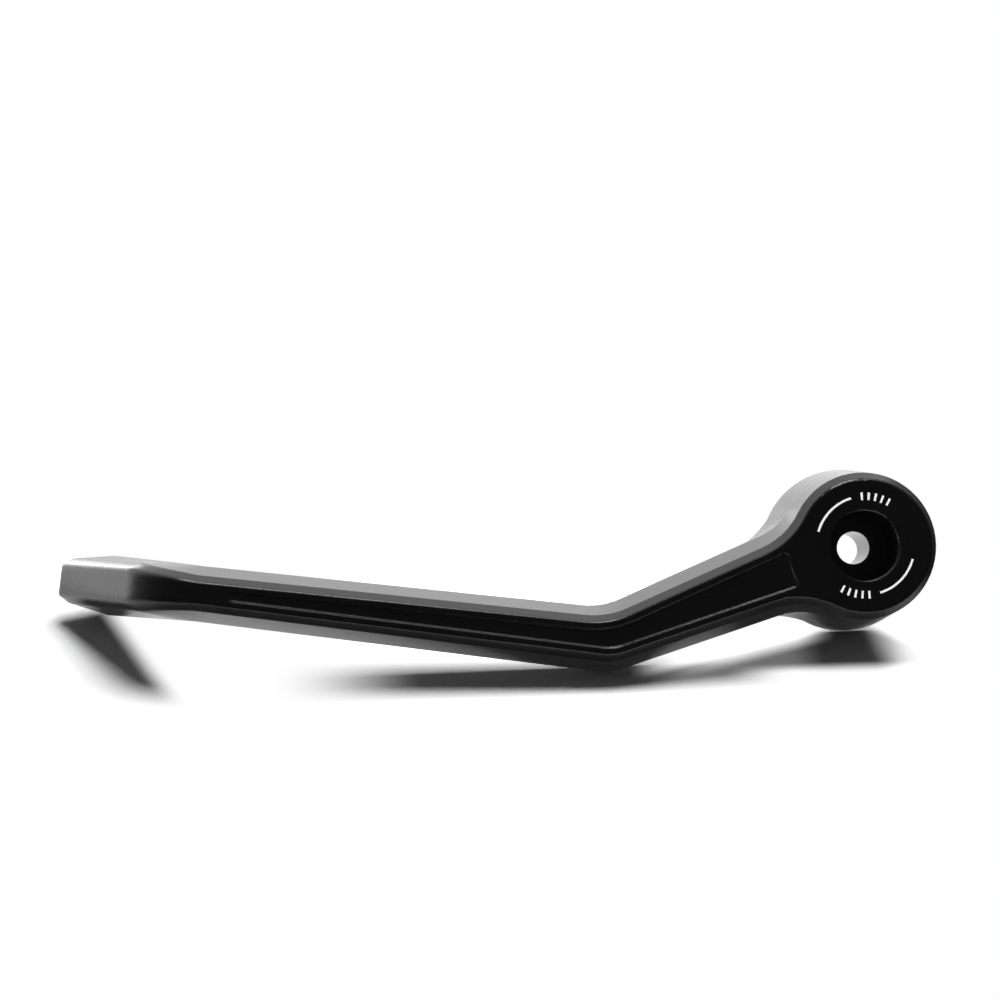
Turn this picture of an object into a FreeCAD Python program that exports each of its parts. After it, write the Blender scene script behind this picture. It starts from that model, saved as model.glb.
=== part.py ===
import math
import os

import FreeCAD
import Part
import Sketcher

# Clutch lever guard: one black moulding that bolts to the end of a handlebar.
# The origin is on the bolt axis at the seat on the bar end. Y runs along the bolt into the bar,
# the arm reaches out along -X and Z is up. The flat front faces -Y. Sizes are in millimetres
# and degrees.

node = "lever_guard"
doc = FreeCAD.newDocument(node)
sheet = doc.addObject("Spreadsheet::Sheet", "sheet")
sizes = [
    # The boss: a cone round the bolt, from the flat front back to the seat on the bar end.
    ("boss_depth", 27.0),
    ("boss_face_radius", 13.1),
    ("boss_seat_radius", 16.7),
    # The bolt: a clearance hole for an M6 screw and a round sink for its head.
    ("bolt_hole_radius", 3.3),
    ("head_sink_radius", 6.8),
    ("head_sink_depth", 13.5),
    ("head_sink_rim", 0.35),
    # The section of the arm and the blade: flat front, sloping edge, drafted wall, bevelled back.
    ("edge_depth", 2.5),
    ("edge_width", 1.45),
    ("arm_depth", 14.0),
    ("wall_spread", 3.5),
    ("back_bevel_depth", 2.5),
    ("back_bevel_width", 1.8),
    # The heel: where the arm thickens behind to run up the side of the boss.
    ("heel_step", 1.0),
    ("heel_spread", 2.6),
    ("heel_reach", 28.0),
    ("heel_top_reach", 25.0),
    ("heel_root_radius", 20.0),
    # The arm and the blade, seen from the front: halves are measured from their centre-lines.
    ("arm_rise", 1.0),
    ("arm_half_at_boss", 5.5),
    ("elbow_reach", 50.1),
    ("elbow_drop", 18.6),
    ("half_at_elbow", 2.95),
    ("blade_length", 81.8),
    ("blade_slope", 6.45),
    ("half_at_bend", 2.05),
    ("root_radius", 16.0),
    ("elbow_inner_radius", 18.0),
    ("elbow_outer_radius", 10.0),
    # The tip: the blade bends back and ends in a straight toe.
    ("bend_radius", 16.0),
    ("bend_angle", 62.5),
    ("bend_spread", 2.4),
    ("toe_length", 39.1),
    ("toe_half", 3.3),
    ("toe_spread", 3.1),
    # The shallow panel sunk in the front of the arm and the blade.
    ("panel_inset", 1.1),
    ("panel_depth", 0.4),
    ("panel_draft", 40.0),
    ("panel_boss_radius", 15.1),
    ("panel_corner", 1.0),
    ("panel_reach", 74.5),
    # Softened edges.
    ("front_round", 0.7),
    ("toe_round", 1.4),
]
for row, (name, value) in enumerate(sizes, start=1):
    sheet.set("A" + str(row), name)
    sheet.set("B" + str(row), str(value))
    sheet.setAlias("B" + str(row), name)
doc.recompute()

# Where the numbered points and axes of a sketch are named.
begin, finish, middle = range(1, 4)
across_axis, up_axis = range(-1, -3, -1)


def size(name):
    return float(sheet.get(name))


def spot(across, up):
    return FreeCAD.Vector(across, up, 0)


def add_sketch(name, support, mode):
    sketch = guard.newObject("Sketcher::SketchObject", name)
    sketch.AttachmentSupport = (support, [""])
    sketch.MapMode = mode
    return sketch


def fix(sketch, expression, *terms):
    """Adds one sized constraint and ties its value to the sheet."""
    index = sketch.addConstraint(Sketcher.Constraint(*terms))
    sketch.setExpression("Constraints[" + str(index) + "]", expression)


def join(sketch, kind, *terms):
    sketch.addConstraint(Sketcher.Constraint(kind, *terms))


def side_line(start, end, start_half, end_half, side):
    """The feet of a straight edge that keeps two given distances from a centre-line."""
    along = end - start
    lean = math.asin((end_half - start_half) / along.Length)
    turn = math.atan2(along.y, along.x) + side * (math.pi / 2 - lean)
    normal = spot(math.cos(turn), math.sin(turn))
    return start + normal * start_half, end + normal * end_half


def outward_of(edge, side):
    """The direction away from the body, square to a straight edge."""
    along = (edge[1] - edge[0]).normalize()
    return spot(along.y * -side, along.x * side)


def meet(first, second):
    """Where two straight edges would cross."""
    run = first[1] - first[0]
    other = second[1] - second[0]
    gap = second[0] - first[0]
    cross = run.x * other.y - run.y * other.x
    return first[0] + run * ((gap.x * other.y - gap.y * other.x) / cross)


def arc_at(centre, radius, start, end):
    """An arc that runs anticlockwise from the bearing of one point to that of another."""
    opening = math.atan2(start.y - centre.y, start.x - centre.x)
    closing = math.atan2(end.y - centre.y, end.x - centre.x)
    circle = Part.Circle(centre, FreeCAD.Vector(0, 0, 1), radius)
    return Part.ArcOfCircle(circle, opening, closing)


def elbow_arc(first, second, radius):
    """The two ends and the centre of the rounding between an arm edge and a blade edge."""
    corner = meet(first, second)
    one = (first[0] - corner).normalize()
    two = (second[1] - corner).normalize()
    half = one.getAngle(two) / 2
    reach = radius / math.tan(half)
    centre = corner + (one + two).normalize() * (radius / math.sin(half))
    return corner + one * reach, corner + two * reach, centre


def boss_arc(edge, outward, boss_radius, radius):
    """The rounding between an arm edge and a circle round the bolt: its ends and its centre.
    A radius above nought is a hollow rounding outside the edge, one below it a corner inside."""
    along = (edge[1] - edge[0]).normalize()
    away = edge[0].dot(outward)
    height = away + radius
    run = math.sqrt((boss_radius + abs(radius)) ** 2 - height ** 2)
    centre = outward * height + along * run
    return outward * away + along * run, centre * (boss_radius / centre.Length), centre


guard = doc.addObject("PartDesign::Body", node)
front_view = next(item for item in guard.Origin.OriginFeatures if item.Role == "XZ_Plane")

arm_start = spot(0, size("arm_rise"))
elbow = spot(-size("elbow_reach"), -size("elbow_drop"))
slope = math.radians(size("blade_slope"))
blade_heading = spot(-math.cos(slope), math.sin(slope))
blade_end = elbow + blade_heading * size("blade_length")


def centre_lines(sketch):
    """Draws the centre-lines of the arm and the blade and returns their numbers."""
    arm = sketch.addGeometry(Part.LineSegment(arm_start, elbow), True)
    blade = sketch.addGeometry(Part.LineSegment(elbow, blade_end), True)
    join(sketch, "PointOnObject", arm, begin, up_axis)
    fix(sketch, "sheet.arm_rise", "DistanceY", across_axis, begin, arm, begin, arm_start.y)
    fix(sketch, "sheet.elbow_reach", "DistanceX", arm, finish, across_axis, begin, -elbow.x)
    fix(sketch, "sheet.elbow_drop", "DistanceY", arm, finish, across_axis, begin, -elbow.y)
    join(sketch, "Coincident", arm, finish, blade, begin)
    fix(sketch, "sheet.blade_length * cos(sheet.blade_slope)",
        "DistanceX", blade, finish, blade, begin, elbow.x - blade_end.x)
    fix(sketch, "sheet.blade_length * sin(sheet.blade_slope)",
        "DistanceY", blade, begin, blade, finish, blade_end.y - elbow.y)
    return arm, blade


def straight_edges(grow):
    """The four straight edges of an outline that stands off the front face by a given width."""
    boss_half = size("arm_half_at_boss") + grow
    elbow_half = size("half_at_elbow") + grow
    bend_half = size("half_at_bend") + grow
    arm_top = side_line(arm_start, elbow, boss_half, elbow_half, -1)
    blade_top = side_line(elbow, blade_end, elbow_half, bend_half, -1)
    blade_low = side_line(elbow, blade_end, elbow_half, bend_half, 1)
    arm_low = side_line(arm_start, elbow, boss_half, elbow_half, 1)
    return arm_top, blade_top, blade_low, arm_low


def space_edges(sketch, edges, lines, grow):
    """Holds each straight edge at its distances from the centre-lines."""
    arm_top, blade_top, blade_low, arm_low = edges
    arm, blade = lines
    boss_half = "sheet.arm_half_at_boss + " + grow
    elbow_half = "sheet.half_at_elbow + " + grow
    bend_half = "sheet.half_at_bend + " + grow
    for edge in (arm_top, arm_low):
        fix(sketch, boss_half, "Distance", arm, begin, edge, size("arm_half_at_boss"))
        fix(sketch, elbow_half, "Distance", arm, finish, edge, size("half_at_elbow"))
    for edge in (blade_top, blade_low):
        fix(sketch, elbow_half, "Distance", blade, begin, edge, size("half_at_elbow"))
        fix(sketch, bend_half, "Distance", blade, finish, edge, size("half_at_bend"))


def outline(name, depth, depth_size, grow, grow_size, radius, radius_size):
    """One outline of the boss, arm and blade, seen along the bolt, at a depth behind the front."""
    sketch = add_sketch(name, front_view, "FlatFace")
    sketch.AttachmentOffset.Base.z = size("boss_depth") - depth_size
    sketch.setExpression("AttachmentOffset.Base.z", "sheet.boss_depth - (" + depth + ")")
    arm_top, blade_top, blade_low, arm_low = straight_edges(grow_size)
    root = size("root_radius") - grow_size
    inner = size("elbow_inner_radius") - grow_size
    outer = size("elbow_outer_radius") + grow_size
    top_foot, top_boss, top_centre = boss_arc(arm_top, outward_of(arm_top, -1), radius_size, root)
    low_foot, low_boss, low_centre = boss_arc(arm_low, outward_of(arm_low, 1), radius_size, root)
    top_near, top_far, top_mid = elbow_arc(arm_top, blade_top, inner)
    low_near, low_far, low_mid = elbow_arc(arm_low, blade_low, outer)
    drawn = sketch.addGeometry([
        arc_at(spot(0, 0), radius_size, low_boss, top_boss),
        arc_at(top_centre, root, top_foot, top_boss),
        Part.LineSegment(top_foot, top_near),
        arc_at(top_mid, inner, top_far, top_near),
        Part.LineSegment(top_far, blade_top[1]),
        Part.LineSegment(blade_top[1], blade_low[1]),
        Part.LineSegment(blade_low[1], low_far),
        arc_at(low_mid, outer, low_far, low_near),
        Part.LineSegment(low_near, low_foot),
        arc_at(low_centre, root, low_boss, low_foot),
    ], False)
    boss, top_root, arm_up, inside, blade_up, end, blade_down, outside, arm_down, low_root = drawn
    lines = centre_lines(sketch)
    join(sketch, "Coincident", boss, middle, across_axis, begin)
    join(sketch, "Tangent", boss, finish, top_root, finish)
    join(sketch, "Tangent", top_root, begin, arm_up, begin)
    join(sketch, "Tangent", arm_up, finish, inside, finish)
    join(sketch, "Tangent", inside, begin, blade_up, begin)
    join(sketch, "Coincident", blade_up, finish, end, begin)
    join(sketch, "Coincident", end, finish, blade_down, begin)
    join(sketch, "Tangent", blade_down, finish, outside, begin)
    join(sketch, "Tangent", outside, finish, arm_down, begin)
    join(sketch, "Tangent", arm_down, finish, low_root, finish)
    join(sketch, "Tangent", low_root, begin, boss, begin)
    join(sketch, "Perpendicular", end, lines[1])
    join(sketch, "PointOnObject", lines[1], finish, end)
    space_edges(sketch, (arm_up, blade_up, blade_down, arm_down), lines, grow)
    fix(sketch, radius, "Radius", boss, radius_size)
    for arc in (top_root, low_root):
        fix(sketch, "sheet.root_radius - (" + grow + ")", "Radius", arc, root)
    fix(sketch, "sheet.elbow_inner_radius - (" + grow + ")", "Radius", inside, inner)
    fix(sketch, "sheet.elbow_outer_radius + " + grow, "Radius", outside, outer)
    return sketch


# The boss, arm and blade: straight-sided layers between four outlines, from the flat front
# through the sloping edge and the drafted wall to the bevelled back.
shoulder = "sheet.boss_face_radius + sheet.edge_width"
shoulder_size = size("boss_face_radius") + size("edge_width")
cone = "(sheet.boss_seat_radius - (" + shoulder + ")) / (sheet.boss_depth - sheet.edge_depth)"
cone_size = (size("boss_seat_radius") - shoulder_size) / (size("boss_depth") - size("edge_depth"))


def boss_radius(depth):
    return shoulder + " + " + cone + " * (" + depth + " - sheet.edge_depth)"


def boss_radius_size(depth_size):
    return shoulder_size + cone_size * (depth_size - size("edge_depth"))


bevel_depth = "sheet.arm_depth - sheet.back_bevel_depth"
bevel_depth_size = size("arm_depth") - size("back_bevel_depth")
back_grow = "(sheet.wall_spread - sheet.back_bevel_width)"
back_grow_size = size("wall_spread") - size("back_bevel_width")
front_outline = outline("front_outline", "0", 0, "0", 0,
                        "sheet.boss_face_radius", size("boss_face_radius"))
shoulder_outline = outline("shoulder_outline", "sheet.edge_depth", size("edge_depth"),
                           "sheet.edge_width", size("edge_width"), shoulder, shoulder_size)
wall_outline = outline("wall_outline", bevel_depth, bevel_depth_size,
                       "sheet.wall_spread", size("wall_spread"),
                       boss_radius(bevel_depth), boss_radius_size(bevel_depth_size))
back_outline = outline("back_outline", "sheet.arm_depth", size("arm_depth"),
                       back_grow, back_grow_size,
                       boss_radius(bevel_depth) + " - sheet.back_bevel_width",
                       boss_radius_size(bevel_depth_size) - size("back_bevel_width"))
doc.recompute()
plate = guard.newObject("PartDesign::AdditiveLoft", "plate")
plate.Profile = (front_outline, [""])
plate.Sections = [(shoulder_outline, [""]), (wall_outline, [""]), (back_outline, [""])]
plate.Ruled = True
doc.recompute()


def heel_outline(name, depth, depth_size, grow, grow_size, reach, root, root_size):
    """An outline of the boss and the root of the arm, cut square across the arm."""
    sketch = add_sketch(name, front_view, "FlatFace")
    sketch.AttachmentOffset.Base.z = size("boss_depth") - depth_size
    sketch.setExpression("AttachmentOffset.Base.z", "sheet.boss_depth - (" + depth + ")")
    arm_top, blade_top, blade_low, arm_low = straight_edges(grow_size)
    radius_size = boss_radius_size(depth_size)
    top_foot, top_boss, top_centre = boss_arc(arm_top, outward_of(arm_top, -1), radius_size, root_size)
    low_foot, low_boss, low_centre = boss_arc(arm_low, outward_of(arm_low, 1), radius_size, root_size)
    heading = (elbow - arm_start).normalize()
    heel_end = arm_start + heading * size(reach)
    cut = (heel_end, heel_end + spot(-heading.y, heading.x))
    top_cut = meet(arm_top, cut)
    low_cut = meet(arm_low, cut)
    drawn = sketch.addGeometry([
        arc_at(spot(0, 0), radius_size, low_boss, top_boss),
        arc_at(top_centre, root_size, top_foot, top_boss),
        Part.LineSegment(top_foot, top_cut),
        Part.LineSegment(top_cut, low_cut),
        Part.LineSegment(low_cut, low_foot),
        arc_at(low_centre, root_size, low_boss, low_foot),
    ], False)
    boss, top_root, arm_up, end, arm_down, low_root = drawn
    arm, blade = centre_lines(sketch)
    join(sketch, "Coincident", boss, middle, across_axis, begin)
    join(sketch, "Tangent", boss, finish, top_root, finish)
    join(sketch, "Tangent", top_root, begin, arm_up, begin)
    join(sketch, "Coincident", arm_up, finish, end, begin)
    join(sketch, "Coincident", end, finish, arm_down, begin)
    join(sketch, "Tangent", arm_down, finish, low_root, finish)
    join(sketch, "Tangent", low_root, begin, boss, begin)
    join(sketch, "Perpendicular", end, arm)
    fix(sketch, "sheet." + reach, "Distance", arm, begin, end, size(reach))
    for edge in (arm_up, arm_down):
        fix(sketch, "sheet.arm_half_at_boss + " + grow,
            "Distance", arm, begin, edge, size("arm_half_at_boss"))
        fix(sketch, "sheet.half_at_elbow + " + grow,
            "Distance", arm, finish, edge, size("half_at_elbow"))
    fix(sketch, boss_radius(depth), "Radius", boss, radius_size)
    for arc in (top_root, low_root):
        fix(sketch, root, "Radius", arc, root_size)
    return sketch


# The heel: the boss and the root of the arm carried on behind the arm and sloped off along it.
heel_depth = "sheet.boss_depth - sheet.heel_step"
heel_depth_size = size("boss_depth") - size("heel_step")
heel_foot = heel_outline("heel_foot", bevel_depth, bevel_depth_size,
                         "sheet.wall_spread", size("wall_spread"), "heel_reach",
                         "sheet.root_radius - sheet.wall_spread",
                         size("root_radius") - size("wall_spread"))
heel_top = heel_outline("heel_top", heel_depth, heel_depth_size,
                        "sheet.heel_spread", size("heel_spread"), "heel_top_reach",
                        "sheet.heel_root_radius", size("heel_root_radius"))
doc.recompute()
heel = guard.newObject("PartDesign::AdditiveLoft", "heel")
heel.Profile = (heel_foot, [""])
heel.Sections = [(heel_top, [""])]
heel.Ruled = True
doc.recompute()

# The seat: the last of the boss, standing proud of the heel.
seat = guard.newObject("PartDesign::AdditiveCone", "seat")
seat.AttachmentSupport = (front_view, [""])
seat.MapMode = "FlatFace"
seat.setExpression("Radius1", "sheet.boss_seat_radius")
seat.setExpression("Radius2", boss_radius(heel_depth))
seat.setExpression("Height", "sheet.heel_step")
doc.recompute()

near = 2e-3
samples = 7


def all_along(edge, measure, wanted):
    """Whether a measure keeps one wanted value all along an edge."""
    if edge.Degenerated or edge.Length < near:
        return False
    return all(abs(measure(point) - wanted) < near for point in edge.discretize(samples))


def edges_where(feature, test):
    """The names of the feature's edges that pass a test."""
    numbered = enumerate(feature.Shape.Edges, start=1)
    return ["Edge" + str(number) for number, edge in numbered if test(edge)]


def behind_front(point):
    return point.y + size("boss_depth")


def past_blade(point):
    return (spot(point.x, point.z) - blade_end).dot(blade_heading)


def is_front_edge(edge):
    return all_along(edge, behind_front, 0) and not all_along(edge, past_blade, 0)


# The front edge of the boss, arm and blade is softened as far as the bend.
front_soft = guard.newObject("PartDesign::Fillet", "front_soft")
front_soft.Base = (seat, edges_where(seat, is_front_edge))
front_soft.setExpression("Radius", "sheet.front_round")
doc.recompute()

# The bend: its frame stands at the end of the blade, with the first axis running on along the
# blade, the second across it and the third out of the front. The section swells along the bend.
bend_frame = guard.newObject("PartDesign::CoordinateSystem", "bend_frame")
bend_frame.AttachmentSupport = (front_view, [""])
bend_frame.MapMode = "FlatFace"
bend_frame.AttachmentOffset.Rotation.Axis = FreeCAD.Vector(0, 0, 1)
bend_frame.setExpression("AttachmentOffset.Base.x",
                         "-sheet.elbow_reach - sheet.blade_length * cos(sheet.blade_slope)")
bend_frame.setExpression("AttachmentOffset.Base.y",
                         "-sheet.elbow_drop + sheet.blade_length * sin(sheet.blade_slope)")
bend_frame.setExpression("AttachmentOffset.Base.z", "sheet.boss_depth")
bend_frame.setExpression("AttachmentOffset.Rotation.Angle", "180 - sheet.blade_slope")
doc.recompute()

toe_frame = guard.newObject("PartDesign::CoordinateSystem", "toe_frame")
toe_frame.AttachmentSupport = (bend_frame, [""])
toe_frame.MapMode = "ObjectXY"
bend_turn = FreeCAD.Rotation(FreeCAD.Vector(0, 1, 0), size("bend_angle"))
toe_frame.AttachmentOffset = FreeCAD.Placement(FreeCAD.Vector(0, 0, 0), bend_turn)
toe_frame.setExpression("AttachmentOffset.Base.x", "sheet.bend_radius * sin(sheet.bend_angle)")
toe_frame.setExpression("AttachmentOffset.Base.z",
                        "-sheet.bend_radius * (1 - cos(sheet.bend_angle))")
toe_frame.setExpression("AttachmentOffset.Rotation.Angle", "sheet.bend_angle")
doc.recompute()


def section(name, frame, half, half_size, spread, spread_size):
    """The section across the bend or the toe, from the middle of its front face backward.
    Each front corner is rounded between the flat front and the sloping edge."""
    sketch = add_sketch(name, frame, "ObjectYZ")
    radius = size("front_round")
    lean = math.atan2(size("edge_depth"), size("edge_width"))
    reach = radius * math.tan(lean / 2)
    wide = half_size + spread_size
    corner = spot(half_size, 0)
    flat_end = spot(half_size - reach, 0)
    edge_start = corner + spot(math.cos(lean), -math.sin(lean)) * reach
    edge_end = spot(half_size + size("edge_width"), -size("edge_depth"))
    wall_end = spot(wide, -bevel_depth_size)
    back_end = spot(wide - size("back_bevel_width"), -size("arm_depth"))
    centre = spot(flat_end.x, -radius)

    def mirrored(point):
        return spot(-point.x, point.y)

    drawn = sketch.addGeometry([
        Part.LineSegment(mirrored(flat_end), flat_end),
        arc_at(centre, radius, edge_start, flat_end),
        Part.LineSegment(edge_start, edge_end),
        Part.LineSegment(edge_end, wall_end),
        Part.LineSegment(wall_end, back_end),
        Part.LineSegment(back_end, mirrored(back_end)),
        Part.LineSegment(mirrored(back_end), mirrored(wall_end)),
        Part.LineSegment(mirrored(wall_end), mirrored(edge_end)),
        Part.LineSegment(mirrored(edge_end), mirrored(edge_start)),
        arc_at(mirrored(centre), radius, mirrored(flat_end), mirrored(edge_start)),
    ], False)
    front, right_round, right_edge, right_wall, right_bevel = drawn[:5]
    back, left_bevel, left_wall, left_edge, left_round = drawn[5:]
    right_corner = sketch.addGeometry(Part.Point(corner), True)
    left_corner = sketch.addGeometry(Part.Point(mirrored(corner)), True)
    join(sketch, "Tangent", front, finish, right_round, finish)
    join(sketch, "Tangent", right_round, begin, right_edge, begin)
    join(sketch, "Tangent", left_edge, finish, left_round, finish)
    join(sketch, "Tangent", left_round, begin, front, begin)
    chain = (right_edge, right_wall, right_bevel, back, left_bevel, left_wall, left_edge)
    for before, after in zip(chain, chain[1:]):
        join(sketch, "Coincident", before, finish, after, begin)
    join(sketch, "PointOnObject", front, begin, across_axis)
    join(sketch, "PointOnObject", right_corner, begin, across_axis)
    join(sketch, "PointOnObject", right_corner, begin, right_edge)
    join(sketch, "PointOnObject", left_corner, begin, left_edge)
    join(sketch, "Symmetric", right_corner, begin, left_corner, begin, up_axis)
    join(sketch, "Symmetric", right_edge, finish, left_edge, begin, up_axis)
    join(sketch, "Symmetric", right_wall, finish, left_wall, begin, up_axis)
    join(sketch, "Symmetric", right_bevel, finish, left_bevel, begin, up_axis)
    for arc in (right_round, left_round):
        fix(sketch, "sheet.front_round", "Radius", arc, radius)
    fix(sketch, half, "DistanceX", across_axis, begin, right_corner, begin, corner.x)
    widths = (
        half + " + sheet.edge_width",
        half + " + " + spread,
        half + " + " + spread + " - sheet.back_bevel_width",
    )
    depths = ("sheet.edge_depth", bevel_depth, "sheet.arm_depth")
    ends = (edge_end, wall_end, back_end)
    for line, width, depth, point in zip((right_edge, right_wall, right_bevel), widths, depths, ends):
        fix(sketch, width, "DistanceX", across_axis, begin, line, finish, point.x)
        fix(sketch, depth, "DistanceY", line, finish, across_axis, begin, -point.y)
    return sketch


bend_section = section("bend_section", bend_frame, "sheet.half_at_bend", size("half_at_bend"),
                       "sheet.wall_spread", size("wall_spread"))
toe_section = section("toe_section", toe_frame, "sheet.toe_half", size("toe_half"),
                      "sheet.bend_spread", size("bend_spread"))
toe_end_section = section("toe_end_section", toe_frame, "sheet.toe_half", size("toe_half"),
                          "sheet.toe_spread", size("toe_spread"))
toe_end_section.AttachmentOffset.Base.z = size("toe_length")
toe_end_section.setExpression("AttachmentOffset.Base.z", "sheet.toe_length")
bend_path = add_sketch("bend_path", bend_frame, "ObjectXZ")
turn = math.radians(size("bend_angle"))
bend_finish = spot(math.sin(turn), math.cos(turn) - 1) * size("bend_radius")
bend_centre = spot(0, -size("bend_radius"))
sweep = bend_path.addGeometry(
    arc_at(bend_centre, size("bend_radius"), bend_finish, spot(0, 0)), False
)
join(bend_path, "Coincident", sweep, finish, across_axis, begin)
join(bend_path, "PointOnObject", sweep, middle, up_axis)
fix(bend_path, "sheet.bend_radius", "Radius", sweep, size("bend_radius"))
fix(bend_path, "sheet.bend_radius * sin(sheet.bend_angle)",
    "DistanceX", across_axis, begin, sweep, begin, bend_finish.x)
doc.recompute()
bend = guard.newObject("PartDesign::AdditivePipe", "bend")
bend.Profile = (bend_section, [""])
bend.Spine = (bend_path, ["Edge1"])
bend.Transformation = "Multisection"
bend.Sections = [(toe_section, [""])]
doc.recompute()

# The toe: straight on from the bend, with a softened end.
toe = guard.newObject("PartDesign::AdditiveLoft", "toe")
toe.Profile = (toe_section, [""])
toe.Sections = [(toe_end_section, [""])]
toe.Ruled = True
doc.recompute()
to_toe = toe_frame.Placement.inverse()


def is_toe_end(edge):
    return all_along(edge, lambda point: to_toe.multVec(point).x, size("toe_length"))


toe_end = guard.newObject("PartDesign::Fillet", "toe_end")
toe_end.Base = (toe, edges_where(toe, is_toe_end))
toe_end.setExpression("Radius", "sheet.toe_round")
doc.recompute()

# The panel: a shallow field sunk in the flat front of the arm and the blade, with sloping sides,
# a hollow end beside the boss and a round end short of the bend.
panel_outline = add_sketch("panel_outline", front_view, "FlatFace")
panel_outline.AttachmentOffset.Base.z = size("boss_depth")
panel_outline.setExpression("AttachmentOffset.Base.z", "sheet.boss_depth")
inset = size("panel_inset")
arm_top, blade_top, blade_low, arm_low = straight_edges(-inset)
inner = size("elbow_inner_radius") + inset
outer = size("elbow_outer_radius") - inset
corner = size("panel_corner")
hollow = size("panel_boss_radius")
top_foot, top_boss, top_centre = boss_arc(arm_top, outward_of(arm_top, -1), hollow, -corner)
low_foot, low_boss, low_centre = boss_arc(arm_low, outward_of(arm_low, 1), hollow, -corner)
top_near, top_far, top_mid = elbow_arc(arm_top, blade_top, inner)
low_near, low_far, low_mid = elbow_arc(arm_low, blade_low, outer)
far_centre = elbow + blade_heading * size("panel_reach")
far_share = size("panel_reach") / size("blade_length")
far_taper = (size("half_at_bend") - size("half_at_elbow")) * far_share
far_radius = size("half_at_elbow") + far_taper - inset
far_top = far_centre + outward_of(blade_top, -1) * far_radius
far_low = far_centre + outward_of(blade_low, 1) * far_radius
drawn = panel_outline.addGeometry([
    arc_at(spot(0, 0), hollow, top_boss, low_boss),
    arc_at(top_centre, corner, top_boss, top_foot),
    Part.LineSegment(top_foot, top_near),
    arc_at(top_mid, inner, top_far, top_near),
    Part.LineSegment(top_far, far_top),
    arc_at(far_centre, far_radius, far_top, far_low),
    Part.LineSegment(far_low, low_far),
    arc_at(low_mid, outer, low_far, low_near),
    Part.LineSegment(low_near, low_foot),
    arc_at(low_centre, corner, low_foot, low_boss),
], False)
boss, top_end, arm_up, inside, blade_up, far, blade_down, outside, arm_down, low_end = drawn
lines = centre_lines(panel_outline)
join(panel_outline, "Coincident", boss, middle, across_axis, begin)
join(panel_outline, "Tangent", boss, begin, top_end, begin)
join(panel_outline, "Tangent", top_end, finish, arm_up, begin)
join(panel_outline, "Tangent", arm_up, finish, inside, finish)
join(panel_outline, "Tangent", inside, begin, blade_up, begin)
join(panel_outline, "Tangent", blade_up, finish, far, begin)
join(panel_outline, "Tangent", far, finish, blade_down, begin)
join(panel_outline, "Tangent", blade_down, finish, outside, begin)
join(panel_outline, "Tangent", outside, finish, arm_down, begin)
join(panel_outline, "Tangent", arm_down, finish, low_end, begin)
join(panel_outline, "Tangent", low_end, finish, boss, finish)
space_edges(panel_outline, (arm_up, blade_up, blade_down, arm_down), lines, "(-sheet.panel_inset)")
fix(panel_outline, "sheet.panel_boss_radius", "Radius", boss, hollow)
for arc in (top_end, low_end):
    fix(panel_outline, "sheet.panel_corner", "Radius", arc, corner)
fix(panel_outline, "sheet.elbow_inner_radius + sheet.panel_inset", "Radius", inside, inner)
fix(panel_outline, "sheet.elbow_outer_radius - sheet.panel_inset", "Radius", outside, outer)
fix(panel_outline, "sheet.panel_reach", "Distance", lines[1], begin, far, middle, size("panel_reach"))
doc.recompute()
panel = guard.newObject("PartDesign::Pocket", "panel")
panel.Profile = (panel_outline, [""])
panel.setExpression("Length", "sheet.panel_depth")
panel.setExpression("TaperAngle", "-sheet.panel_draft")
doc.recompute()


def bolt_circle(name, radius):
    """A circle round the bolt axis, drawn on the front face."""
    sketch = add_sketch(name, front_view, "FlatFace")
    sketch.AttachmentOffset.Base.z = size("boss_depth")
    sketch.setExpression("AttachmentOffset.Base.z", "sheet.boss_depth")
    round_edge = Part.Circle(spot(0, 0), FreeCAD.Vector(0, 0, 1), size(radius))
    drawn_circle = sketch.addGeometry(round_edge, False)
    join(sketch, "Coincident", drawn_circle, middle, across_axis, begin)
    fix(sketch, "sheet." + radius, "Radius", drawn_circle, size(radius))
    return sketch


# The bolt's way through the boss: a sink for the screw head, then the clearance hole.
sink_circle = bolt_circle("sink_circle", "head_sink_radius")
doc.recompute()
head_sink = guard.newObject("PartDesign::Pocket", "head_sink")
head_sink.Profile = (sink_circle, [""])
head_sink.setExpression("Length", "sheet.head_sink_depth")
doc.recompute()
hole_circle = bolt_circle("hole_circle", "bolt_hole_radius")
doc.recompute()
bolt_hole = guard.newObject("PartDesign::Pocket", "bolt_hole")
bolt_hole.Profile = (hole_circle, [""])
bolt_hole.setExpression("Length", "sheet.boss_depth + sheet.arm_depth")
doc.recompute()


def is_sink_rim(edge):
    level = all_along(edge, lambda point: point.y, -size("boss_depth"))
    return level and all_along(edge, lambda point: math.hypot(point.x, point.z), size("head_sink_radius"))


sink_rim = guard.newObject("PartDesign::Chamfer", "sink_rim")
sink_rim.Base = (bolt_hole, edges_where(bolt_hole, is_sink_rim))
sink_rim.setExpression("Size", "sheet.head_sink_rim")
doc.recompute()

guard.Label = node
for item in doc.Objects:
    if "Invalid" in item.State or "Error" in item.State:
        raise RuntimeError(item.Name + " did not build")
if guard.Shape.isNull() or not guard.Shape.isValid() or len(guard.Shape.Solids) != 1:
    raise RuntimeError("the guard is not one sound solid")
if not bolt_hole.Shape.Volume < head_sink.Shape.Volume < panel.Shape.Volume < toe_end.Shape.Volume:
    raise RuntimeError("a cut did not remove material")

os.makedirs("parts", exist_ok=True)
guard.Shape.exportStep("parts/" + node + ".step")
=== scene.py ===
import math

import bmesh
import bpy
from mathutils import Matrix, Vector


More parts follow.
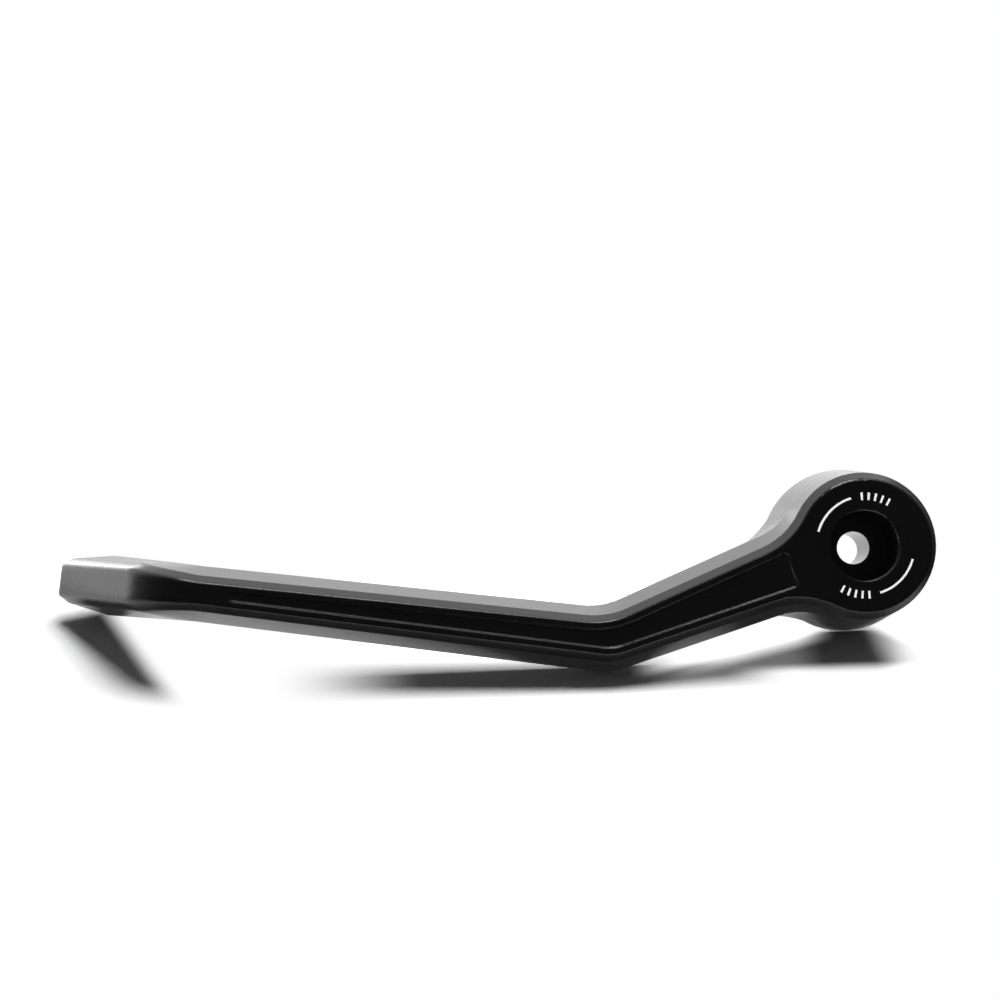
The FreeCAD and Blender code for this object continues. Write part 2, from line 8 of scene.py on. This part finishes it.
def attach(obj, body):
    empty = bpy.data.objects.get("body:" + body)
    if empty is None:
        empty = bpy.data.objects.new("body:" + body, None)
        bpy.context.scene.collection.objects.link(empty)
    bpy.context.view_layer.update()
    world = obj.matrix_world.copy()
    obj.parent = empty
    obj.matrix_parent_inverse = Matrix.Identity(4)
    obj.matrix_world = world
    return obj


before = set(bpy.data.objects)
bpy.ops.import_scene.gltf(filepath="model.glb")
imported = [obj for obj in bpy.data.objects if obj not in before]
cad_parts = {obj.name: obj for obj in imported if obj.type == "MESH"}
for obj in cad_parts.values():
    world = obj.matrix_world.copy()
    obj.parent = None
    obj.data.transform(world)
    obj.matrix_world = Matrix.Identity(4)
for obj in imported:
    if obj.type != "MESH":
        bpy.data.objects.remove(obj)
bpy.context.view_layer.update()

# The guard: one moulding of black nylon filled with glass fibre, shot into a steel mould.
# The mould's spark-eroded walls leave an even satin grain, which is rubbed a little smoother on the edges.
# It is bolted through the boss on the right to the end of the handlebar.
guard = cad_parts["lever_guard"]
mm = 0.001


def linear(hex_colour):
    """An sRGB hex colour as the linear colour that a shader takes."""
    channels = [level / 255 for level in bytes.fromhex(hex_colour.lstrip("#"))]
    flat, foot, gain, power = 0.04045, 12.92, 1.055, 2.4
    lit = [c / foot if c <= flat else ((c + gain - 1) / gain) ** power for c in channels]
    return (*lit, 1.0)


def add_node(tree, kind, settings=None, inputs=None):
    """Adds one node, sets its properties and sets or links its inputs."""
    node = tree.nodes.new(kind)
    for name, value in (settings or {}).items():
        setattr(node, name, value)
    for name, value in (inputs or {}).items():
        if isinstance(value, bpy.types.NodeSocket):
            tree.links.new(value, node.inputs[name])
        else:
            node.inputs[name].default_value = value
    return node


def new_material(name):
    """An empty node material, with its node tree and its output node."""
    made = bpy.data.materials.new(name)
    made.use_nodes = True
    made.node_tree.nodes.clear()
    return made, made.node_tree, add_node(made.node_tree, "ShaderNodeOutputMaterial")


# Moulded glass-filled nylon: nearly black in the body, with a satin sheen that turns bright only where
# it is seen at a low angle. The real grain, about 0.1 mm, is too fine to show, so it is drawn at 0.7 mm.
# The shading rounds every edge a little, and the edges of the toe, past the bend, much more.
nylon, tree, output = new_material("moulded_glass_filled_nylon")
nylon_dark = linear("#090909")
nylon_light = linear("#101010")
nylon_rubbed = linear("#121212")
nylon_ior = 1.55
satin_smooth, satin_rough = 0.06, 0.14
rubbed_polish = -0.03
grain_size = 0.7 * mm
grain_detail, grain_roughness = 2.0, 0.6
grain_depth = 0.08 * mm
grain_strength = 0.5
flow_size = 14 * mm
flow_detail = 3.0
edge_softness = 0.3 * mm
toe_softness = 2.2 * mm
bend_start, bend_end = -146 * mm, -128 * mm
edge_samples = 6
place = add_node(tree, "ShaderNodeTexCoord")
grain = add_node(tree, "ShaderNodeTexNoise", None, {
    "Vector": place.outputs["Object"], "Scale": 1 / grain_size,
    "Detail": grain_detail, "Roughness": grain_roughness})
flow = add_node(tree, "ShaderNodeTexNoise", None, {
    "Vector": place.outputs["Object"], "Scale": 1 / flow_size, "Detail": flow_detail})
spot = add_node(tree, "ShaderNodeSeparateXYZ", None, {"Vector": place.outputs["Object"]})
softness = add_node(tree, "ShaderNodeMapRange", None, {
    "Value": spot.outputs["X"], "From Min": bend_start, "From Max": bend_end,
    "To Min": toe_softness, "To Max": edge_softness})
soft_edge = add_node(tree, "ShaderNodeBevel", {"samples": edge_samples}, {
    "Radius": softness.outputs["Result"]})

# An edge is where the rounded normal leaves the flat one: it is rubbed more, the more they differ.
rub_start, rub_full = 0.99, 0.85
surface = add_node(tree, "ShaderNodeNewGeometry")
agreement = add_node(tree, "ShaderNodeVectorMath", {"operation": "DOT_PRODUCT"}, {
    0: soft_edge.outputs["Normal"], 1: surface.outputs["Normal"]})
wear = add_node(tree, "ShaderNodeMapRange", None, {
    "Value": agreement.outputs["Value"], "From Min": rub_start, "From Max": rub_full})
body = add_node(tree, "ShaderNodeMix", {"data_type": "RGBA"}, {
    "Factor": flow.outputs["Fac"], "A": nylon_dark, "B": nylon_light})
tint = add_node(tree, "ShaderNodeMix", {"data_type": "RGBA"}, {
    "Factor": wear.outputs["Result"], "A": body.outputs["Result"], "B": nylon_rubbed})
satin = add_node(tree, "ShaderNodeMapRange", None, {
    "Value": grain.outputs["Fac"], "To Min": satin_smooth, "To Max": satin_rough})
polish = add_node(tree, "ShaderNodeMath", {"operation": "MULTIPLY_ADD"}, {
    0: wear.outputs["Result"], 1: rubbed_polish, 2: satin.outputs["Result"]})
relief = add_node(tree, "ShaderNodeBump", None, {
    "Height": grain.outputs["Fac"], "Strength": grain_strength, "Distance": grain_depth,
    "Normal": soft_edge.outputs["Normal"]})
shader = add_node(tree, "ShaderNodeBsdfPrincipled", None, {
    "Base Color": tint.outputs["Result"],
    "Roughness": polish.outputs["Value"],
    "IOR": nylon_ior,
    "Normal": relief.outputs["Normal"]})
tree.links.new(shader.outputs["BSDF"], output.inputs["Surface"])
guard.data.materials.clear()
guard.data.materials.append(nylon)

# The index marks: thin white pad-printed ink on the flat face of the boss.
# Two plain arcs and a row of short ticks beside each, for setting the guard's angle.
scene = bpy.context.scene
face_depth = -27.0 * mm
ink_thickness = 0.05 * mm
arc_radius = 9.7 * mm
arc_width = 0.42 * mm
arc_start, arc_end = math.radians(107), math.radians(164)
arc_steps = 40
tick_count = 5
tick_first, tick_step = math.radians(62), math.radians(8)
tick_length = 1.5 * mm
tick_width = 0.42 * mm
tick_steps = 2


def ink_point(radius, angle, depth):
    """A point of the print, at a radius and an angle around the bolt's axis."""
    return Vector((radius * math.cos(angle), depth, radius * math.sin(angle)))


def print_sector(mesh, inner, outer, start, end, steps):
    """One raised patch of ink between two radii and two angles."""
    top, foot = face_depth - ink_thickness, face_depth
    corners = ((inner, top), (outer, top), (outer, foot), (inner, foot))
    rings = []
    for step in range(steps + 1):
        angle = start + (end - start) * step / steps
        rings.append([mesh.verts.new(ink_point(radius, angle, depth)) for radius, depth in corners])
    for before, after in zip(rings, rings[1:]):
        for side in range(len(corners)):
            following = (side + 1) % len(corners)
            mesh.faces.new((before[side], before[following], after[following], after[side]))
    mesh.faces.new(reversed(rings[0]))
    mesh.faces.new(rings[-1])


ink_mesh = bmesh.new()
tick_spread = tick_width / arc_radius / 2
for turn in (0, math.pi):
    print_sector(ink_mesh, arc_radius - arc_width / 2, arc_radius + arc_width / 2,
                 arc_start + turn, arc_end + turn, arc_steps)
    for tick in range(tick_count):
        angle = tick_first + tick * tick_step + turn
        print_sector(ink_mesh, arc_radius - tick_length / 2, arc_radius + tick_length / 2,
                     angle - tick_spread, angle + tick_spread, tick_steps)
bmesh.ops.recalc_face_normals(ink_mesh, faces=ink_mesh.faces)
ink_data = bpy.data.meshes.new("index_marks")
ink_mesh.to_mesh(ink_data)
ink_mesh.free()
index_marks = bpy.data.objects.new("index_marks", ink_data)
scene.collection.objects.link(index_marks)

# Pad-printing ink: an opaque matt white film that shows the grain beneath it.
ink, tree, output = new_material("pad_printed_white_ink")
ink_colour = linear("#fbfbfa")
ink_roughness = 0.6
ink_strength = 0.3
place = add_node(tree, "ShaderNodeTexCoord")
grain = add_node(tree, "ShaderNodeTexNoise", None, {
    "Vector": place.outputs["Object"], "Scale": 1 / grain_size, "Detail": grain_detail})
relief = add_node(tree, "ShaderNodeBump", None, {
    "Height": grain.outputs["Fac"], "Strength": ink_strength, "Distance": grain_depth})
shader = add_node(tree, "ShaderNodeBsdfPrincipled", None, {
    "Base Color": ink_colour, "Roughness": ink_roughness, "Normal": relief.outputs["Normal"]})
tree.links.new(shader.outputs["BSDF"], output.inputs["Surface"])
ink_data.materials.append(ink)
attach(index_marks, "root")

# The floor: a small sheet of white paper that the guard lies on, touching it at the boss, elbow and toe.
# It ends a little way in front of the guard and to its right, and its underside is clear, so that the
# guard can be seen from below.
boss_touch = Vector((0.79, 0.0, -16.68)) * mm
elbow_touch = Vector((-50.07, -15.5, -24.88)) * mm
toe_touch = Vector((-153.54, 20.69, -13.27)) * mm
floor_up = (elbow_touch - boss_touch).cross(toe_touch - boss_touch).normalized()
if floor_up.z < 0:
    floor_up.negate()
floor_right = Vector((1, 0, 0)) - floor_up * floor_up.x
floor_right.normalize()
floor_back = floor_up.cross(floor_right)
floor_left_end, floor_right_end = -210 * mm, 42 * mm
floor_near, floor_far = -36 * mm, 120 * mm
floor_gap = 0.05 * mm
floor_origin = boss_touch - floor_up * floor_gap
floor_corners = []
for right, back in ((floor_left_end, floor_near), (floor_right_end, floor_near),
                    (floor_right_end, floor_far), (floor_left_end, floor_far)):
    floor_corners.append(floor_origin + floor_right * right + floor_back * back)
floor_data = bpy.data.meshes.new("paper_floor")
floor_data.from_pydata(floor_corners, [], [range(len(floor_corners))])
floor = bpy.data.objects.new("paper_floor", floor_data)
scene.collection.objects.link(floor)

# White paper: matt, and plain white to the camera where the lamp reaches it. In the nylon's reflections it
# has a faint painted glow, and a painted shade darkens its colour towards its right end, so that its edge
# doesn't show in the boss's rim.
paper, tree, output = new_material("white_paper")
white = linear("#ffffff")
paper_seen = 1.6
# The paper's colour to reflections, the painted shade it fades to at its right end, and where that fade runs.
paper_lit, painted_end_shade = 0.88, 0.05
end_shade_start, end_shade_full = 130 * mm, 165 * mm
# The strength of the paper's painted glow, which only reflections see.
painted_glow_level = 0.03
under_blade = Vector((-124, -15, -27.4)) * mm
path = add_node(tree, "ShaderNodeLightPath")
paper_spot = add_node(tree, "ShaderNodeNewGeometry")
from_blade = add_node(tree, "ShaderNodeVectorMath", {"operation": "SUBTRACT"}, {
    0: paper_spot.outputs["Position"], 1: under_blade})
along = add_node(tree, "ShaderNodeVectorMath", {"operation": "DOT_PRODUCT"}, {
    0: from_blade.outputs["Vector"], 1: floor_right})
# Painted shade: as reflections see it, the paper's colour fades to near black towards its right end.
tone_with_painted_shade = add_node(tree, "ShaderNodeMapRange", {"interpolation_type": "SMOOTHSTEP"}, {
    "Value": along.outputs["Value"], "From Min": end_shade_start, "From Max": end_shade_full,
    "To Min": paper_lit, "To Max": painted_end_shade})
tone = add_node(tree, "ShaderNodeMapRange", None, {
    "Value": path.outputs["Is Camera Ray"],
    "To Min": tone_with_painted_shade.outputs["Result"], "To Max": paper_seen})
matt = add_node(tree, "ShaderNodeBsdfDiffuse", None, {"Color": tone.outputs["Result"]})
# Painted glow: the paper emits a faint white light that only the nylon's reflections see.
painted_glow_strength = add_node(tree, "ShaderNodeMath", {"operation": "MULTIPLY"}, {
    0: path.outputs["Is Glossy Ray"], 1: painted_glow_level})
painted_glow = add_node(tree, "ShaderNodeEmission", None, {"Color": white, "Strength": painted_glow_strength.outputs["Value"]})
paper_with_painted_glow = add_node(tree, "ShaderNodeAddShader", None, {
    0: matt.outputs["BSDF"], 1: painted_glow.outputs["Emission"]})

# Painted light: the camera sees some patches of the paper painted white, or a little lighter, over parts of
# the guard's cast shadow, so that the shadow shows weak there. Each patch has the most that it is painted by,
# and the distances at which it fades from none to that, in millimetres along the paper from the point under
# the blade.
toe_slant, arm_slant, boss_slant = math.radians(20), math.radians(28), math.radians(39)
past_toe = floor_right * math.cos(toe_slant) + floor_back * math.sin(toe_slant)
past_arm = floor_back * math.cos(arm_slant) - floor_right * math.sin(arm_slant)
past_boss = floor_right * math.cos(boss_slant) + floor_back * math.sin(boss_slant)
full, faint = 1.0, 0.13
painted_light_patches = {
    "under the blade": (full, ((past_toe, -17, -11), (floor_right, 38, 6))),
    "behind the arm": (full, ((floor_right, 78, 92), (past_arm, -42, -37))),
    "edge of the arm's shadow": (full, (
        (floor_right, 86, 102), (past_arm, -46.5, -38.5), (floor_right, 123, 113))),
    "right of the boss": (full, ((floor_right, 127.5, 138.5),)),
    "behind the boss": (full, ((past_boss, 110.5, 118),)),
    "in front of the boss": (full, ((floor_right, 97, 112), (floor_back, 2.5, -4))),
    "below the arm": (faint, ((floor_right, 80, 90), (floor_right, 119, 110))),
}
painted_lift = 0.0
for most, fades in painted_light_patches.values():
    level = most
    for direction, none_at, most_at in fades:
        distance = add_node(tree, "ShaderNodeVectorMath", {"operation": "DOT_PRODUCT"}, {
            0: from_blade.outputs["Vector"], 1: direction})
        fade = add_node(tree, "ShaderNodeMapRange", {"interpolation_type": "SMOOTHSTEP"}, {
            "Value": distance.outputs["Value"], "From Min": none_at * mm, "From Max": most_at * mm,
            "To Max": level})
        level = fade.outputs["Result"]
    total = add_node(tree, "ShaderNodeMath", {"operation": "ADD", "use_clamp": True}, {0: painted_lift, 1: level})
    painted_lift = total.outputs["Value"]
painted_lift_seen = add_node(tree, "ShaderNodeMath", {"operation": "MULTIPLY"}, {
    0: painted_lift, 1: path.outputs["Is Camera Ray"]})
# Painted light: a white emission that the camera sees in place of the lit paper and the guard's shadow on it.
painted_white = add_node(tree, "ShaderNodeEmission", None, {"Color": white})
top = add_node(tree, "ShaderNodeMixShader", None, {
    0: painted_lift_seen.outputs["Value"], 1: paper_with_painted_glow.outputs["Shader"], 2: painted_white.outputs["Emission"]})
clear = add_node(tree, "ShaderNodeBsdfTransparent")
sheet = add_node(tree, "ShaderNodeMixShader", None, {
    0: paper_spot.outputs["Backfacing"], 1: top.outputs["Shader"], 2: clear.outputs["BSDF"]})
tree.links.new(sheet.outputs["Shader"], output.inputs["Surface"])
floor_data.materials.append(paper)

# The camera: a long lens half a metre in front of the guard, a little below the bolt's axis.
# It looks slightly up and to the right, and colours are shown as they are written.
view_turn, view_rise = math.radians(2.46), math.radians(3.16)
look = Vector((math.sin(view_turn) * math.cos(view_rise),
               math.cos(view_turn) * math.cos(view_rise),
               math.sin(view_rise)))
across = Vector((math.cos(view_turn), -math.sin(view_turn), 0))
upward = across.cross(look)
camera_place = Vector((-93.35, -523.18, -18.64)) * mm
sensor_width, lens_length = 36, 91.44
camera_data = bpy.data.cameras.new("camera")
camera_data.sensor_width = sensor_width
camera_data.lens = lens_length
camera = bpy.data.objects.new("camera", camera_data)
scene.collection.objects.link(camera)
camera_axes = Matrix((across, upward, -look)).transposed()
camera.matrix_world = Matrix.Translation(camera_place) @ camera_axes.to_4x4()
scene.camera = camera
scene.view_settings.view_transform = "Standard"

# The lamps: one wide disc above the boss, a little to the rear, and a weak fill from the camera's side.
# They give the plain light and the shadow, and neither is seen or mirrored. The fill reaches the guard alone.
lamp_height = 460 * mm
lamp_radius = 210 * mm
lamp_back, lamp_right = 65 * mm, 10 * mm
lamp_radiance = 5.9
lamp_area = math.pi * lamp_radius ** 2
overhead_data = bpy.data.lights.new("overhead_lamp", "AREA")
overhead_data.shape = "DISK"
overhead_data.size = 2 * lamp_radius
overhead_data.energy = lamp_radiance * math.pi * lamp_area
overhead_lamp = bpy.data.objects.new("overhead_lamp", overhead_data)
scene.collection.objects.link(overhead_lamp)
overhead_lamp.location = (boss_touch + floor_up * lamp_height
                          + floor_back * lamp_back + floor_right * lamp_right)
overhead_lamp.rotation_euler = floor_up.to_track_quat("Z", "Y").to_euler()
fill_radiance, fill_spread = 0.6, math.radians(60)
fill_data = bpy.data.lights.new("front_fill", "SUN")
fill_data.energy = fill_radiance * math.pi
fill_data.angle = fill_spread
front_fill = bpy.data.objects.new("front_fill", fill_data)
scene.collection.objects.link(front_fill)
front_fill.rotation_euler = (-look).to_track_quat("Z", "Y").to_euler()
filled = bpy.data.collections.new("filled")
filled.objects.link(guard)
filled.objects.link(index_marks)
front_fill.light_linking.receiver_collection = filled
for lamp in (overhead_lamp, front_fill):
    lamp.visible_camera = False
    lamp.visible_glossy = False

# The studio: walls that only the nylon mirrors, pale above and behind, dark in front and on the right.
# A lamp at the rear left shines on the top of the toe, and a strip overhead picks out the panel's lower
# line and the rim of the counterbore. The camera sees plain white.
wall_rise, wall_shade = 0.8, 1.8
darkest, palest = -1.0, 1.0
wall_stops = ((0.0, 0.02), (0.2, 0.04), (0.4, 0.12), (0.65, 0.35), (0.80, 1.1))
rear_gain, strip_gain = 4.2, 10.0
ambient_level, seen_level = 0.045, 1.0
world = bpy.data.worlds.new("studio")
scene.world = world
world.use_nodes = True
tree = world.node_tree
tree.nodes.clear()
output = add_node(tree, "ShaderNodeOutputWorld")
place = add_node(tree, "ShaderNodeTexCoord")
ahead = add_node(tree, "ShaderNodeVectorMath", {"operation": "DOT_PRODUCT"}, {
    0: place.outputs["Generated"], 1: look})
above = add_node(tree, "ShaderNodeVectorMath", {"operation": "DOT_PRODUCT"}, {
    0: place.outputs["Generated"], 1: upward})
beside = add_node(tree, "ShaderNodeVectorMath", {"operation": "DOT_PRODUCT"}, {
    0: place.outputs["Generated"], 1: across})
to_right = add_node(tree, "ShaderNodeMath", {"operation": "MAXIMUM"}, {
    0: beside.outputs["Value"], 1: 0.0})
raised = add_node(tree, "ShaderNodeMath", {"operation": "MULTIPLY_ADD"}, {
    0: above.outputs["Value"], 1: wall_rise, 2: ahead.outputs["Value"]})
shaded = add_node(tree, "ShaderNodeMath", {"operation": "MULTIPLY_ADD"}, {
    0: to_right.outputs["Value"], 1: -wall_shade, 2: raised.outputs["Value"]})
pale_share = add_node(tree, "ShaderNodeMapRange", None, {
    "Value": shaded.outputs["Value"], "From Min": darkest, "From Max": palest})
walls = add_node(tree, "ShaderNodeValToRGB", None, {"Fac": pale_share.outputs["Result"]})
ramp = walls.color_ramp
ready_stops = len(ramp.elements)
for index, (stop, level) in enumerate(wall_stops):
    element = ramp.elements[index] if index < ready_stops else ramp.elements.new(stop)
    element.position = stop
    element.color = (level, level, level, 1.0)

# Each mirrored lamp has its gain on the walls, and fades from none to that by the direction looked in.
mirrored_lamps = {
    "rear left": (rear_gain, ((ahead, 0.75, 0.85), (beside, -0.24, -0.34))),
    "overhead strip": (strip_gain, (
        (ahead, -0.56, -0.46), (ahead, -0.06, -0.14), (above, 0.5, 0.6), (beside, -0.25, -0.1))),
}
wall_level = 1.0
for gain, fades in mirrored_lamps.values():
    level = gain
    for direction, none_at, most_at in fades:
        fade = add_node(tree, "ShaderNodeMapRange", {"interpolation_type": "SMOOTHSTEP"}, {
            "Value": direction.outputs["Value"], "From Min": none_at, "From Max": most_at,
            "To Max": level})
        level = fade.outputs["Result"]
    total = add_node(tree, "ShaderNodeMath", {"operation": "ADD"}, {0: wall_level, 1: level})
    wall_level = total.outputs["Value"]
path = add_node(tree, "ShaderNodeLightPath")
ambient = add_node(tree, "ShaderNodeBackground", None, {"Color": white, "Strength": ambient_level})
mirrored = add_node(tree, "ShaderNodeBackground", None, {
    "Color": walls.outputs["Color"], "Strength": wall_level})
seen = add_node(tree, "ShaderNodeBackground", None, {"Color": white, "Strength": seen_level})
glossy = add_node(tree, "ShaderNodeMixShader", None, {
    0: path.outputs["Is Glossy Ray"], 1: ambient.outputs["Background"], 2: mirrored.outputs["Background"]})
shown = add_node(tree, "ShaderNodeMixShader", None, {
    0: path.outputs["Is Camera Ray"], 1: glossy.outputs["Shader"], 2: seen.outputs["Background"]})
tree.links.new(shown.outputs["Shader"], output.inputs["Surface"])
